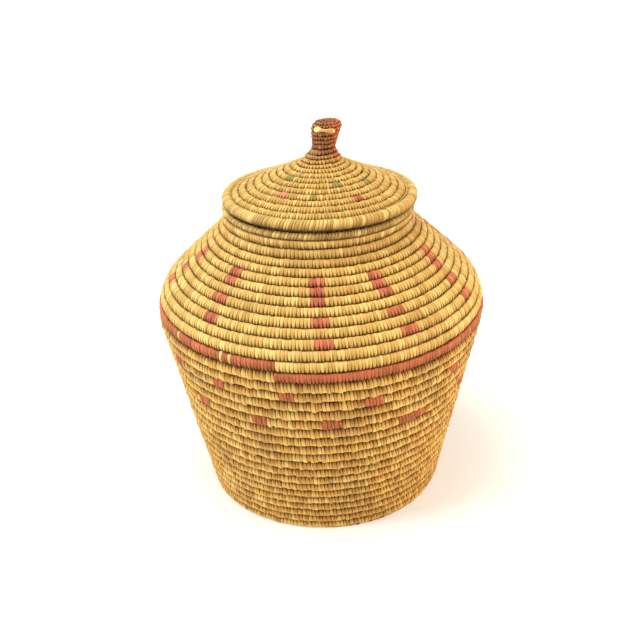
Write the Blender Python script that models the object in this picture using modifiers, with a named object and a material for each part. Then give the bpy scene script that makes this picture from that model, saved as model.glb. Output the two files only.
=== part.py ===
"""A coiled grass basket jar with its lid, in metres, +Z up, standing on z = 0.

Each wall is one long bundle of grass, coiled row on row and wrapped with flat stitches.
Here the coils are turned sections whose skin is ribbed, one rib for each row of coil.
A skin line gives the outer shape: straight runs between corners, with the corners bent round.
"""

import math

import bpy

# Jar: corners of the skin line, from the rim down to the floor
BODY_HEIGHT = 0.2227
RIM_RADIUS = 0.0683
RIM_COIL_RADIUS = 0.0028
NECK_INSET = 0.0008
NECK_HEIGHT = 0.0125
NECK_BEND = 0.0130
BELLY_CORNER_RADIUS = 0.1220
BELLY_CORNER_HEIGHT = 0.1560
BELLY_BEND = 0.0350
FOOT_RADIUS = 0.0868
WALL = 0.0065

# Jar: its mouth isn't level. How much lower its back is than its front, and the height where rows start to tip
MOUTH_DROP = 0.005895
TIP_START = 0.130

# Jar: rows of coil along the skin line, and how tall a row is at three places
NECK_ROWS = 3
SHOULDER_ROWS = 10
BAND_ROWS = 1
LOWER_ROWS = 18
FOOT_ROWS = 1
TALLEST_ROW = 17
ROW_AT_RIM = 0.0058
ROW_AT_BELLY = 0.0087
ROW_AT_FOOT = 0.0062
GROOVE = 0.0014

# Base
BASE_THICKNESS = 0.0060
BASE_START_RADIUS = 0.0095

# Lid: its outer coil lies on the rim coil at the back, and its front stands open by a small height
LID_COIL_RADIUS = 0.0041
LID_INSET = 0.0006
LID_OPENING = 0.0015576
LID_FORWARD = 0.0013
LID_WALL = 0.0050
DOME_MEET_ANGLE = math.radians(60.0)
SEAM_END = math.radians(175.0)
SEAM_POINTS = 4
LID_RISE = 0.0213
LID_CROWN_RADIUS = 0.0152
LID_CROWN_BEND = 0.0109
LID_ROWS = 12
CROWN_ROWS = 3
LID_ROW_AT_EDGE = 0.0054
LID_ROW_AT_STEM = 0.0035
LID_GROOVE = 0.0010
FLANGE_TOP = 0.0010
FLANGE_DEPTH = 0.0162
FLANGE_ROWS = 3
FLANGE_WALL = 0.0045
FLANGE_PLAY = 0.0008

# Knob: a wrapped bundle that widens upwards and leans to one side
STEM_RADIUS = 0.0080
STEM_RISE = 0.0090
KNOB_RADIUS = 0.0107
STEM_LENGTH = 0.0088
CAP_HEIGHT = 0.0100
CORE_RADIUS = 0.0035
CORE_TAIL = 0.0040
KNOB_LEAN = 0.149
TIE_RADIUS = 0.0011
TIE_DROP = 0.0042
TIE_FROM = math.radians(-62.0)
TIE_TO = math.radians(48.0)

# Dyed wraps: columns of pink stitches over some rows of the shoulder
COLUMN_ANGLES = [math.radians(a) for a in (-79, -43, 0, 29, 66, 100, 137, 174, 210, 246)]
WRAP_WIDTH = 0.0100
WRAP_THICKNESS = 0.0006
WRAP_CLEARANCE = 0.00040
STACK_FIRST_ROW = 4
STACK_LAST_ROW = 6
UPPER_BLOCK_ROW = 8
LOWER_BLOCK_ROW = 10

# Fineness and clearances
GAP = 0.0003
STEPS = 32
KNOB_STEPS = 24
TUBE_SIDES = 10
ARC_POINTS = 10
MOST_OF_RUN = 0.98
CREST_START = 0.30
CREST_END = 0.70
INNER_POINT_SPACING = 0.020
MERGE_DISTANCE = 0.00001
STEM_POINTS = 4
CAP_POINTS = 6
TIE_POINTS = 9
SMOOTH_ANGLE = math.radians(50.0)

# Finishes: base colour and roughness
STRAW = ((0.62, 0.41, 0.14), 0.62)
WORN_STRAW = ((0.55, 0.35, 0.12), 0.66)
PINK_DYE = ((0.60, 0.20, 0.11), 0.62)
BROWN_DYE = ((0.33, 0.13, 0.06), 0.60)
GOLD_STRAW = ((0.78, 0.60, 0.24), 0.38)

# Heights and radii that follow from the sizes above
RIM_CENTRE = (RIM_RADIUS - RIM_COIL_RADIUS, BODY_HEIGHT - RIM_COIL_RADIUS)
WALL_TOP = BODY_HEIGHT - 2.0 * RIM_COIL_RADIUS - GAP
NECK_RADIUS = RIM_RADIUS - NECK_INSET
SHOULDER_HEIGHT = BODY_HEIGHT - NECK_HEIGHT
MOUTH_SLOPE = MOUTH_DROP / (2.0 * RIM_CENTRE[0])
LID_RADIUS = RIM_CENTRE[0] - LID_INSET
SEAT_REACH = RIM_COIL_RADIUS + LID_COIL_RADIUS + GAP
LID_TILT = math.atan(MOUTH_SLOPE + LID_OPENING / (2.0 * LID_RADIUS))
BACK_STEP = LID_INSET + LID_FORWARD
BACK_RISE = math.sqrt(SEAT_REACH ** 2 - BACK_STEP ** 2) - RIM_CENTRE[0] * MOUTH_SLOPE
LID_CENTRE = (LID_RADIUS, RIM_CENTRE[1] + BACK_RISE + LID_RADIUS * math.sin(LID_TILT))
DOME_EDGE = (
    LID_CENTRE[0] - (LID_COIL_RADIUS + GAP) * math.cos(DOME_MEET_ANGLE),
    LID_CENTRE[1] + (LID_COIL_RADIUS + GAP) * math.sin(DOME_MEET_ANGLE),
)
CROWN_CORNER = (LID_CROWN_RADIUS, DOME_EDGE[1] + LID_RISE)
STEM_FOOT = (STEM_RADIUS, CROWN_CORNER[1] + STEM_RISE)
STEM_TOP_HEIGHT = STEM_FOOT[1] + GAP + STEM_LENGTH
CAP_FOOT_HEIGHT = STEM_TOP_HEIGHT + GAP
CAP_TOP_HEIGHT = CAP_FOOT_HEIGHT + CAP_HEIGHT


def clear_scene():
    """Removes whatever objects the file opened with."""
    for old in list(bpy.data.objects):
        bpy.data.objects.remove(old, do_unlink=True)


def rounded_path(corners, bends):
    """Joins corners by straight runs, and bends each inner corner round an arc of its radius.

    An arc has the radius that its two runs leave room for, where that is the smaller one.
    """
    path = [corners[0]]
    for before, corner, after, radius in zip(corners, corners[1:], corners[2:], bends):
        into = unit(corner[0] - before[0], corner[1] - before[1])
        out = unit(after[0] - corner[0], after[1] - corner[1])
        turn = math.atan2(into[0] * out[1] - into[1] * out[0], into[0] * out[0] + into[1] * out[1])
        half_turn = math.tan(abs(turn) / 2.0)
        room = MOST_OF_RUN * min(math.dist(path[-1], corner), math.dist(corner, after))
        if radius * half_turn > room:
            radius = room / half_turn
        reach = radius * half_turn
        start = (corner[0] - into[0] * reach, corner[1] - into[1] * reach)
        side = math.copysign(1.0, turn)
        centre = (start[0] - into[1] * radius * side, start[1] + into[0] * radius * side)
        arm = (start[0] - centre[0], start[1] - centre[1])
        for step in range(ARC_POINTS + 1):
            angle = turn * step / ARC_POINTS
            path.append((
                centre[0] + arm[0] * math.cos(angle) - arm[1] * math.sin(angle),
                centre[1] + arm[0] * math.sin(angle) + arm[1] * math.cos(angle),
            ))
    path.append(corners[-1])
    return path


def unit(x, y):
    """Scales a direction to length one."""
    size = math.hypot(x, y)
    return (x / size, y / size)


def path_length(path):
    """Length of a path along its points."""
    return sum(math.dist(a, b) for a, b in zip(path, path[1:]))


def on_path(path, distance, depth=0.0):
    """Point at a distance along the path, sunk by a depth to the path's right as it runs down."""
    left = distance
    for a, b in zip(path, path[1:]):
        run = math.dist(a, b)
        if left <= run or b is path[-1]:
            along = unit(b[0] - a[0], b[1] - a[1])
            inward = (along[1], -along[0])
            return (
                a[0] + along[0] * left + inward[0] * depth,
                a[1] + along[1] * left + inward[1] * depth,
            )
        left -= run


def row_edges(length, count, heights):
    """Distances of the grooves between rows, where heights are (row, height) pairs to blend."""
    wanted = []
    for row in range(count):
        middle = row + 0.5
        for (row_a, tall_a), (row_b, tall_b) in zip(heights, heights[1:]):
            if middle <= row_b:
                wanted.append(tall_a + (tall_b - tall_a) * (middle - row_a) / (row_b - row_a))
                break
    scale = length / sum(wanted)
    edges = [0.0]
    for tall in wanted:
        edges.append(edges[-1] + tall * scale)
    return edges


def ribbed_skin(path, edges, first, last, groove):
    """Outer points of rows first to last: a groove, then two crest points, for each row."""
    points = []
    for row in range(first, last + 1):
        tall = edges[row + 1] - edges[row]
        start = edges[row] + (GAP / 2.0 if row == first else 0.0)
        points.append(on_path(path, start, groove))
        points.append(on_path(path, edges[row] + tall * CREST_START))
        points.append(on_path(path, edges[row] + tall * CREST_END))
    points.append(on_path(path, edges[last + 1] - GAP / 2.0, groove))
    return points


def inner_side(path, top, bottom, depth):
    """Plain inner points from the bottom up to the top, a wall's depth inside the skin."""
    count = max(2, math.ceil((bottom - top) / INNER_POINT_SPACING) + 1)
    distances = [bottom + (top - bottom) * i / (count - 1) for i in range(count)]
    return [on_path(path, d, depth) for d in distances]


def shell_section(path, edges, first, last, groove, depth):
    """Closed profile of the wall over rows first to last."""
    skin = ribbed_skin(path, edges, first, last, groove)
    inside = inner_side(path, edges[first] + GAP / 2.0, edges[last + 1] - GAP / 2.0, depth)
    return skin + inside


def profile_object(name, points, closed):
    """Makes a line of edges in the XZ plane, ready to be turned."""
    mesh = bpy.data.meshes.new(name)
    edges = [(i, i + 1) for i in range(len(points) - 1)]
    if closed:
        edges.append((len(points) - 1, 0))
    mesh.from_pydata([(r, 0.0, z) for r, z in points], edges, [])
    return bpy.data.objects.new(name, mesh)


def add_screw(obj, steps, angle):
    """Turns a profile about the Z axis."""
    screw = obj.modifiers.new("turn", "SCREW")
    screw.axis = "Z"
    screw.angle = angle
    screw.steps = steps
    screw.render_steps = steps
    screw.use_merge_vertices = True
    screw.merge_threshold = MERGE_DISTANCE
    screw.use_smooth_shade = True


def turned(name, points, closed, steps, parts, parent, finish):
    """Turns a profile full circle. An open profile starts and ends on the axis."""
    obj = profile_object(name, points, closed)
    add_screw(obj, steps, 2.0 * math.pi)
    return placed(obj, parts, parent, finish)


def placed(obj, parts, parent, finish):
    """Puts an object in the collection, under its parent, with its own material."""
    parts.objects.link(obj)
    obj.parent = parent
    obj.matrix_parent_inverse = parent.matrix_world.inverted()
    colour, roughness = finish
    material = bpy.data.materials.new(obj.name + "_finish")
    material.use_nodes = True
    shader = material.node_tree.nodes["Principled BSDF"]
    shader.inputs["Base Color"].default_value = (*colour, 1.0)
    shader.inputs["Roughness"].default_value = roughness
    shader.inputs["Metallic"].default_value = 0.0
    obj.data.materials.append(material)
    return obj


def solid_mesh(obj, parts):
    """Replaces an object's modifiers or curve by the mesh that they make."""
    bpy.context.view_layer.update()
    evaluated = obj.evaluated_get(bpy.context.evaluated_depsgraph_get())
    mesh = bpy.data.meshes.new_from_object(evaluated)
    name, parent = obj.name, obj.parent
    parent_inverse = obj.matrix_parent_inverse.copy()
    bpy.data.objects.remove(obj, do_unlink=True)
    mesh.name = name
    fresh = bpy.data.objects.new(name, mesh)
    parts.objects.link(fresh)
    fresh.parent = parent
    fresh.matrix_parent_inverse = parent_inverse
    return fresh


def tipped(obj, parts):
    """Puts a piece that was made on an even jar where it lies on this one, whose mouth isn't level."""
    turn = obj.matrix_basis.copy()
    obj = solid_mesh(obj, parts)
    for vertex in obj.data.vertices:
        vertex.co = on_jar(*(turn @ vertex.co))
    return obj


def on_jar(x, y, z):
    """A point of the even jar, raised at the front and lowered at the back, more so nearer the mouth."""
    share = min(1.0, max(0.0, (z - TIP_START) / (BODY_HEIGHT - TIP_START)))
    return (x, y, z - y * MOUTH_SLOPE * share * share * (3.0 - 2.0 * share))


def seated(obj, parts):
    """Puts a piece that was made on a level lid where it lies once the lid leans and sits on the rim."""
    obj = solid_mesh(obj, parts)
    for vertex in obj.data.vertices:
        vertex.co = on_seat(*vertex.co)
    return obj


def on_seat(x, y, z):
    """A point of the level lid, leaned to +X, tipped up at the front, and moved forward."""
    rise = z - LID_CENTRE[1]
    return (
        x + sideways(z),
        y * math.cos(LID_TILT) + rise * math.sin(LID_TILT) - LID_FORWARD,
        LID_CENTRE[1] - y * math.sin(LID_TILT) + rise * math.cos(LID_TILT),
    )


def sideways(height):
    """How far the lid's centre line has moved along +X at a height."""
    return KNOB_LEAN * max(0.0, height - DOME_EDGE[1])


def smooth_rounds(parts):
    """Shades every piece smooth, with its sharp edges kept."""
    for obj in parts.objects:
        if obj.type == "MESH" and not obj.modifiers:
            obj.data.shade_smooth()
            obj.data.set_sharp_from_angle(angle=SMOOTH_ANGLE)


def torus(name, centre, radius, parts, parent, finish):
    """A round coil lying level about the Z axis."""
    bpy.ops.mesh.primitive_torus_add(
        location=(0.0, 0.0, 0.0), major_radius=centre[0], minor_radius=radius,
        major_segments=STEPS, minor_segments=TUBE_SIDES,
    )
    obj = bpy.context.object
    obj.name = name
    obj.data.name = name
    for collection in list(obj.users_collection):
        collection.objects.unlink(obj)
    for vertex in obj.data.vertices:
        vertex.co.z += centre[1]
    return placed(obj, parts, parent, finish)


def jar_path():
    """Skin line of the jar from under the rim coil down to the floor."""
    corners = [
        (RIM_RADIUS, WALL_TOP),
        (NECK_RADIUS, SHOULDER_HEIGHT),
        (BELLY_CORNER_RADIUS, BELLY_CORNER_HEIGHT),
        (FOOT_RADIUS, 0.0),
    ]
    return rounded_path(corners, [NECK_BEND, BELLY_BEND])


def jar_rows(path):
    """Groove distances for all rows of the jar under its rim coil."""
    count = NECK_ROWS + SHOULDER_ROWS + BAND_ROWS + LOWER_ROWS + FOOT_ROWS
    heights = [(0, ROW_AT_RIM), (TALLEST_ROW, ROW_AT_BELLY), (count, ROW_AT_FOOT)]
    return row_edges(path_length(path), count, heights)


def build_jar(parts, root):
    """Rim, neck, shoulder, pink band, lower wall, foot and base of the jar."""
    path = jar_path()
    edges = jar_rows(path)
    tipped(torus("rim_coil", RIM_CENTRE, RIM_COIL_RADIUS, parts, root, STRAW), parts)
    sections = [
        ("neck", NECK_ROWS, STRAW),
        ("shoulder", SHOULDER_ROWS, STRAW),
        ("belly_band", BAND_ROWS, PINK_DYE),
        ("lower_wall", LOWER_ROWS, WORN_STRAW),
    ]
    row = 0
    for name, rows, finish in sections:
        profile = shell_section(path, edges, row, row + rows - 1, GROOVE, WALL)
        tipped(turned(name, profile, True, STEPS, parts, root, finish), parts)
        row += rows
    build_foot(path, edges, row, parts, root)
    build_base(parts, root)
    build_wraps(path, edges, parts, root)


def build_foot(path, edges, row, parts, root):
    """Lowest coil of the wall, flat where it stands on the floor."""
    tall = edges[row + 1] - edges[row]
    top = edges[row] + GAP / 2.0
    profile = [
        on_path(path, top, GROOVE),
        on_path(path, edges[row] + tall * CREST_START),
        on_path(path, edges[row] + tall * CREST_END),
        (FOOT_RADIUS - GROOVE, 0.0),
        (FOOT_RADIUS - WALL, 0.0),
        on_path(path, top, WALL),
    ]
    turned("foot_coil", profile, True, STEPS, parts, root, WORN_STRAW)


def build_base(parts, root):
    """Flat spiral floor of the jar, in its first tight coil and the rest."""
    edge = FOOT_RADIUS - WALL - GAP
    start = BASE_START_RADIUS
    floor = [
        (edge, BASE_THICKNESS), (edge, 0.0),
        (start + GAP, 0.0), (start + GAP, BASE_THICKNESS),
    ]
    turned("base_disc", floor, True, STEPS, parts, root, WORN_STRAW)
    centre = [(0.0, BASE_THICKNESS), (start, BASE_THICKNESS), (start, 0.0), (0.0, 0.0)]
    turned("base_start_coil", centre, False, STEPS, parts, root, WORN_STRAW)


def build_wraps(path, edges, parts, root):
    """Pink stitches over the shoulder: a stack and two single blocks in each column."""
    kinds = [
        ("pink_stack", STACK_FIRST_ROW, STACK_LAST_ROW),
        ("pink_upper_block", UPPER_BLOCK_ROW, UPPER_BLOCK_ROW),
        ("pink_lower_block", LOWER_BLOCK_ROW, LOWER_BLOCK_ROW),
    ]
    for number, angle in enumerate(COLUMN_ANGLES, start=1):
        for kind, first, last in kinds:
            wrap(f"{kind}_{number:02d}", path, edges, first, last, angle, parts, root)


def wrap(name, path, edges, first, last, angle, parts, root):
    """A thin saddle of dyed stitches, just proud of the rows that it covers."""
    skin = ribbed_skin(path, edges, first, last, GROOVE)
    ahead = unit(skin[-1][0] - skin[0][0], skin[-1][1] - skin[0][1])
    outward = (-ahead[1] * WRAP_CLEARANCE, ahead[0] * WRAP_CLEARANCE)
    skin[0] = between(skin[0], skin[1])
    skin[-1] = between(skin[-1], skin[-2])
    obj = profile_object(name, [(r + outward[0], z + outward[1]) for r, z in skin], False)
    middle = skin[len(skin) // 2][0]
    spread = WRAP_WIDTH / middle
    add_screw(obj, 2, spread)
    thick = obj.modifiers.new("thickness", "SOLIDIFY")
    thick.thickness = WRAP_THICKNESS
    thick.offset = 1.0
    obj.rotation_euler.z = angle - math.pi / 2.0 - spread / 2.0
    return tipped(placed(obj, parts, root, PINK_DYE), parts)


def between(a, b):
    """Point halfway between two others."""
    return ((a[0] + b[0]) / 2.0, (a[1] + b[1]) / 2.0)


def lid_path():
    """Skin line of the lid from the foot of the knob's stem down to the lid's outer coil."""
    return rounded_path([STEM_FOOT, CROWN_CORNER, DOME_EDGE], [LID_CROWN_BEND])


def build_lid(parts, root):
    """Outer coil, flange, dome and crown of the lid."""
    path = lid_path()
    heights = [(0, LID_ROW_AT_STEM), (LID_ROWS, LID_ROW_AT_EDGE)]
    edges = row_edges(path_length(path), LID_ROWS, heights)
    seated(torus("lid_rim_coil", LID_CENTRE, LID_COIL_RADIUS, parts, root, STRAW), parts)
    seated(turned("lid_dome", dome_section(path, edges), True, STEPS, parts, root, STRAW), parts)
    build_crown(path, edges, parts, root)
    build_flange(parts, root)


def dome_section(path, edges):
    """Closed profile of the dome, whose lower end lies round the inner side of the outer coil."""
    skin = ribbed_skin(path, edges, CROWN_ROWS, LID_ROWS - 1, LID_GROOVE)
    reach = LID_COIL_RADIUS + GAP
    start = math.pi - DOME_MEET_ANGLE + LID_GROOVE / reach
    seam = []
    for i in range(SEAM_POINTS):
        angle = start + (SEAM_END - start) * i / (SEAM_POINTS - 1)
        seam.append((LID_CENTRE[0] + reach * math.cos(angle), LID_CENTRE[1] + reach * math.sin(angle)))
    inside = inner_side(path, edges[CROWN_ROWS] + GAP / 2.0, edges[LID_ROWS] - GAP / 2.0, LID_WALL)
    return skin[:-1] + seam + inside[1:]


def build_crown(path, edges, parts, root):
    """Inner rows of the lid, which flare up into the stem, bored for the knob's core."""
    skin = ribbed_skin(path, edges, 0, CROWN_ROWS - 1, LID_GROOVE)
    lower = on_path(path, edges[CROWN_ROWS] - GAP / 2.0, LID_WALL)
    bore = CORE_RADIUS + GAP
    profile = skin + [lower, (bore, lower[1]), (bore, skin[0][1])]
    seated(turned("lid_crown", profile, True, STEPS, parts, root, BROWN_DYE), parts)


def build_flange(parts, root):
    """Rows of coil under the dome, which drop inside the neck and keep the lid in place."""
    top = LID_CENTRE[1] + FLANGE_TOP
    swing = (FLANGE_DEPTH - FLANGE_TOP) * math.sin(LID_TILT)
    outer = NECK_RADIUS - WALL - FLANGE_PLAY - LID_FORWARD - swing
    inner = outer - FLANGE_WALL
    row = FLANGE_DEPTH / FLANGE_ROWS
    profile = []
    for i in range(FLANGE_ROWS):
        start = top - row * i
        profile += [
            (outer - LID_GROOVE, start),
            (outer, start - row * CREST_START),
            (outer, start - row * CREST_END),
        ]
    profile += [(outer - LID_GROOVE, top - FLANGE_DEPTH), (inner, top - FLANGE_DEPTH), (inner, top)]
    seated(turned("lid_flange", profile, True, STEPS, parts, root, STRAW), parts)


def knob_radius(height):
    """Skin radius of the knob, widening evenly from the stem's foot to the cap's shoulder."""
    share = (height - STEM_FOOT[1]) / (CAP_FOOT_HEIGHT + CAP_HEIGHT / 2.0 - STEM_FOOT[1])
    return STEM_RADIUS + (KNOB_RADIUS - STEM_RADIUS) * min(1.0, max(0.0, share))


def build_knob(parts, root):
    """Core bundle, wrapped stem, rounded cap and the pale strand tied across its front."""
    bore = CORE_RADIUS + GAP
    foot = STEM_FOOT[1] + GAP
    top = STEM_TOP_HEIGHT
    heights = [top + (foot - top) * i / (STEM_POINTS - 1) for i in range(STEM_POINTS)]
    stem = [(knob_radius(z), z) for z in heights] + [(bore, foot), (bore, top)]
    seated(turned("knob_stem", stem, True, KNOB_STEPS, parts, root, BROWN_DYE), parts)
    tail = STEM_FOOT[1] - STEM_RISE - CORE_TAIL
    core = [(0.0, top), (CORE_RADIUS, top), (CORE_RADIUS, tail), (0.0, tail)]
    seated(turned("knob_core", core, False, KNOB_STEPS, parts, root, WORN_STRAW), parts)
    build_cap(parts, root)
    build_tie(parts, root)


def build_cap(parts, root):
    """Top of the knob: straight sides and a low dome whose edge is a quarter ellipse."""
    side = CAP_FOOT_HEIGHT + CAP_HEIGHT / 2.0
    points = []
    for i in range(CAP_POINTS + 1):
        angle = math.pi / 2.0 * (1.0 - i / CAP_POINTS)
        points.append((KNOB_RADIUS * math.cos(angle), side + CAP_HEIGHT / 2.0 * math.sin(angle)))
    points[0] = (0.0, CAP_TOP_HEIGHT)
    points += [(knob_radius(CAP_FOOT_HEIGHT), CAP_FOOT_HEIGHT), (0.0, CAP_FOOT_HEIGHT)]
    seated(turned("knob_cap", points, False, KNOB_STEPS, parts, root, BROWN_DYE), parts)


def build_tie(parts, root):
    """One glossy strand laid round the front of the cap."""
    height = CAP_TOP_HEIGHT - TIE_DROP
    reach = KNOB_RADIUS + GAP + TIE_RADIUS
    curve = bpy.data.curves.new("knob_tie", "CURVE")
    curve.dimensions = "3D"
    curve.bevel_depth = TIE_RADIUS
    curve.bevel_resolution = 2
    curve.use_fill_caps = True
    spline = curve.splines.new("POLY")
    spline.points.add(TIE_POINTS - 1)
    for i, point in enumerate(spline.points):
        angle = TIE_FROM + (TIE_TO - TIE_FROM) * i / (TIE_POINTS - 1)
        point.co = (*on_seat(reach * math.sin(angle), -reach * math.cos(angle), height), 1.0)
    placed(bpy.data.objects.new("knob_tie", curve), parts, root, GOLD_STRAW)


def empty(name, height, parts):
    """An empty on the Z axis, which carries one moving group."""
    carrier = bpy.data.objects.new(name, None)
    carrier.location.z = height
    parts.objects.link(carrier)
    bpy.context.view_layer.update()
    return carrier


def main():
    """Builds the whole basket jar."""
    clear_scene()
    parts = bpy.data.collections.new("lidded_basket_jar")
    bpy.context.scene.collection.children.link(parts)
    jar = empty("jar_stand", 0.0, parts)
    lid = empty("lid_lift_axis", BODY_HEIGHT, parts)
    build_jar(parts, jar)
    build_lid(parts, lid)
    build_knob(parts, lid)
    smooth_rounds(parts)


main()
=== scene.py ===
"""Looks of the coiled grass basket jar: every row of coil with its stitches, the knob and the studio.

Each wall is one long coil of grass that winds round the axis and climbs by one row in each turn.
A coil is a closed section carried along that spiral. Its skin dips between rows and between stitches.
Lengths are metres, and angles are measured from the front, which is -Y, towards +X.
"""

import math
from types import SimpleNamespace as Record

import bpy
import numpy as np
from mathutils import Matrix, Vector


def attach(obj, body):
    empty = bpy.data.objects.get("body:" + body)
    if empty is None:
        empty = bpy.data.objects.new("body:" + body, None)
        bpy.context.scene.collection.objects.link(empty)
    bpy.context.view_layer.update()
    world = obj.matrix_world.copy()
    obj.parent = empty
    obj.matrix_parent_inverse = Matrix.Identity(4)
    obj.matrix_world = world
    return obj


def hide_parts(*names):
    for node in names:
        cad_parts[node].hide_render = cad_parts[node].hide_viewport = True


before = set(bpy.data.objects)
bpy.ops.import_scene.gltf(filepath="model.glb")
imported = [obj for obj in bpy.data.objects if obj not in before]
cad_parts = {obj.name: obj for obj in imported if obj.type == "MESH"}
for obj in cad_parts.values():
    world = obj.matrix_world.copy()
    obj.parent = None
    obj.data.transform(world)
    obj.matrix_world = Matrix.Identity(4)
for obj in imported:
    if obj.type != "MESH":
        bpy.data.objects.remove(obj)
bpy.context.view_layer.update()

# One turn, in radians
TURN = 2.0 * math.pi

# Jar: corners of its skin line, as the solids have them
BODY_HEIGHT = 0.2227
RIM_RADIUS = 0.0683
RIM_COIL_RADIUS = 0.0028
NECK_RADIUS = 0.0675
SHOULDER_HEIGHT = 0.2102
NECK_BEND = 0.0130
BELLY_CORNER_RADIUS = 0.1220
BELLY_CORNER_HEIGHT = 0.1560
BELLY_BEND = 0.0350
FOOT_RADIUS = 0.0868
WALL = 0.0065
GAP = 0.0003
WALL_TOP = BODY_HEIGHT - 2.0 * RIM_COIL_RADIUS - GAP

# Jar: slope of its mouth towards the back, and the height where the rows start to tip
MOUTH_TIP = 0.045
TIP_START = 0.130

# Jar: rows of coil under the rim coil, and where each part of the wall ends, in rows
WALL_ROWS = 33
NECK_END = 2
SHOULDER_MIDDLE = 8
SHOULDER_END = 12
BAND_END = 13
LOWER_ENDS = (BAND_END, 17, 21, 26, 31)
TALLEST_ROW = 17
ROW_AT_RIM = 0.0058
ROW_AT_BELLY = 0.0087
ROW_AT_FOOT = 0.0062
JOG_ANGLE = math.radians(-16.0)

# Part of a turn by which a coil's tapered end falls short of its last row, and the turn where it starts
LOOSE_END = 0.04
LOOSE_START = LOOSE_END - 1.0

# Base
BASE_THICKNESS = 0.0060
BASE_ROW = 0.0062
BASE_START_RADIUS = 0.0095
BUTTON_RADIUS = 0.0034

# Lid: thick outer coil, dome and crown, and the flange under it
LID_COIL_RADIUS = 0.0041
LID_RADIUS = 0.0649
LID_TIP = 0.012
LID_FORWARD = 0.0013
LID_ASIDE = 0.0012
DOME_MEET_ANGLE = math.radians(60.0)
LID_WALL = 0.0050
LID_RISE = 0.0213
LID_CROWN_RADIUS = 0.0152
LID_CROWN_BEND = 0.0109
LID_ROWS = 12
CROWN_ROWS = 3
CROWN_TURNS = 4
LID_ROW_AT_EDGE = 0.0054
LID_ROW_AT_STEM = 0.0035
FLANGE_TOP = 0.0010
FLANGE_DEPTH = 0.0162
FLANGE_WALL = 0.0045
FLANGE_PLAY = 0.0008
FLANGE_ROWS = 3

# Knob
STEM_RADIUS = 0.0080
STEM_RISE = 0.0090
STEM_BEND = 0.0070
KNOB_RADIUS = 0.0114
STEM_LENGTH = 0.0088
CAP_HEIGHT = 0.0100
KNOB_LEAN = 0.120
CAP_SHIFT = 0.0015
KNOB_ROW = 0.0032
KNOB_WALL = 0.0036
CAP_EDGE_BEND = 0.0044
CAP_CROWN = 0.0006

# The strand across the knob: where it lies, its half height and half thickness, its two lobes, and where
# its gold deepens and pales
TIE_FROM = math.radians(-52.0)
TIE_TO = math.radians(30.0)
TIE_DROP = 0.0042
TIE_HALF_HEIGHT = 0.0011
TIE_HALF_THICKNESS = 0.0007
TIE_LOBES = ((0.15, 0.0010), (0.83, 0.0009))
TIE_LOBE_WIDTH = 0.18
TIE_LOBE_BULGE = 0.25
TIE_SINK = 0.0003
TIE_SLOPE = 0.0011
TIE_TILT = math.radians(28.0)
TIE_DEEPENS = (0.20, 0.42)
TIE_PALES = (0.86, 0.97)
TIE_TIP = 0.004
TIE_STEPS = 48
TIE_SIDES = 16

# Places that follow from the sizes above, as (radius, height)
RIM_CENTRE = (RIM_RADIUS - RIM_COIL_RADIUS, BODY_HEIGHT - RIM_COIL_RADIUS)
SEAT_REACH = RIM_COIL_RADIUS + LID_COIL_RADIUS + GAP
LID_TILT = math.atan(MOUTH_TIP + LID_TIP)
BACK_STEP = RIM_CENTRE[0] - LID_RADIUS + LID_FORWARD
BACK_RISE = math.sqrt(SEAT_REACH ** 2 - BACK_STEP ** 2) - RIM_CENTRE[0] * MOUTH_TIP
LID_CENTRE = (LID_RADIUS, RIM_CENTRE[1] + BACK_RISE + LID_RADIUS * math.sin(LID_TILT))
DOME_EDGE = (
    LID_CENTRE[0] - (LID_COIL_RADIUS + GAP) * math.cos(DOME_MEET_ANGLE),
    LID_CENTRE[1] + (LID_COIL_RADIUS + GAP) * math.sin(DOME_MEET_ANGLE),
)
CROWN_CORNER = (LID_CROWN_RADIUS, DOME_EDGE[1] + LID_RISE)
STEM_FOOT = (STEM_RADIUS, CROWN_CORNER[1] + STEM_RISE)
CAP_TOP = STEM_FOOT[1] + STEM_LENGTH + CAP_HEIGHT + 2.0 * GAP

# Dyed blocks of the shoulder: each column's angle and lean per row, in degrees, and its first row
COLUMNS = (
    (-76.0, -1.3, 5), (-44.0, -0.1, 5), (-2.0, 0.35, 4), (25.7, 1.0, 4), (63.8, 0.5, 4),
    (100.0, 0.3, 4), (137.0, 0.0, 4), (174.0, 0.0, 4), (210.0, 0.0, 4), (246.0, 0.0, 4),
)
COLUMN_TOP_ROW = 4

# Blocks of a column: name, rows and half width
COLUMN_KINDS = (
    ("pink_stack", (4, 5, 6), 0.0050),
    ("pink_upper_block", (8,), 0.0062),
    ("pink_lower_block", (10,), 0.0062),
)

# Dyed blocks of the lower wall: two staggered rings, each on one turn of the coil, in degrees
LOWER_JOG = 10.0
LOWER_RINGS = (
    (16.5, (-38.5, -12.5, 17.0, 53.5, 85.0, 115.0, 145.0, 177.0, 208.0, 240.0, 270.0, 298.0)),
    (19.5, (-50.0, -24.0, 2.5, 32.2, 37.8, 66.0, 96.0, 127.0, 158.0, 190.0, 220.0, 250.0, 281.0)),
)
LOWER_HALF_WIDTH = 0.0062
BAND_STRAW_ANGLES = (-57.3, -35.8, -31.8)

# Dyed blocks of the lid: rows up from its edge, and angle in degrees
LID_BLOCKS = {
    "green": ((6.1, -49.0), (5.5, 18.0), (4.4, 57.0), (3.8, -7.0), (5.2, 142.0), (4.0, 196.0)),
    "pale_green": ((4.4, -77.0), (6.1, 80.0)),
    "pink": ((2.4, 31.5), (2.2, 170.0)),
    "faint_pink": ((3.3, -33.0), (3.3, -38.0), (2.0, -107.0), (2.6, 104.0)),
}
LID_HALF_WIDTH = 0.0028

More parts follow.
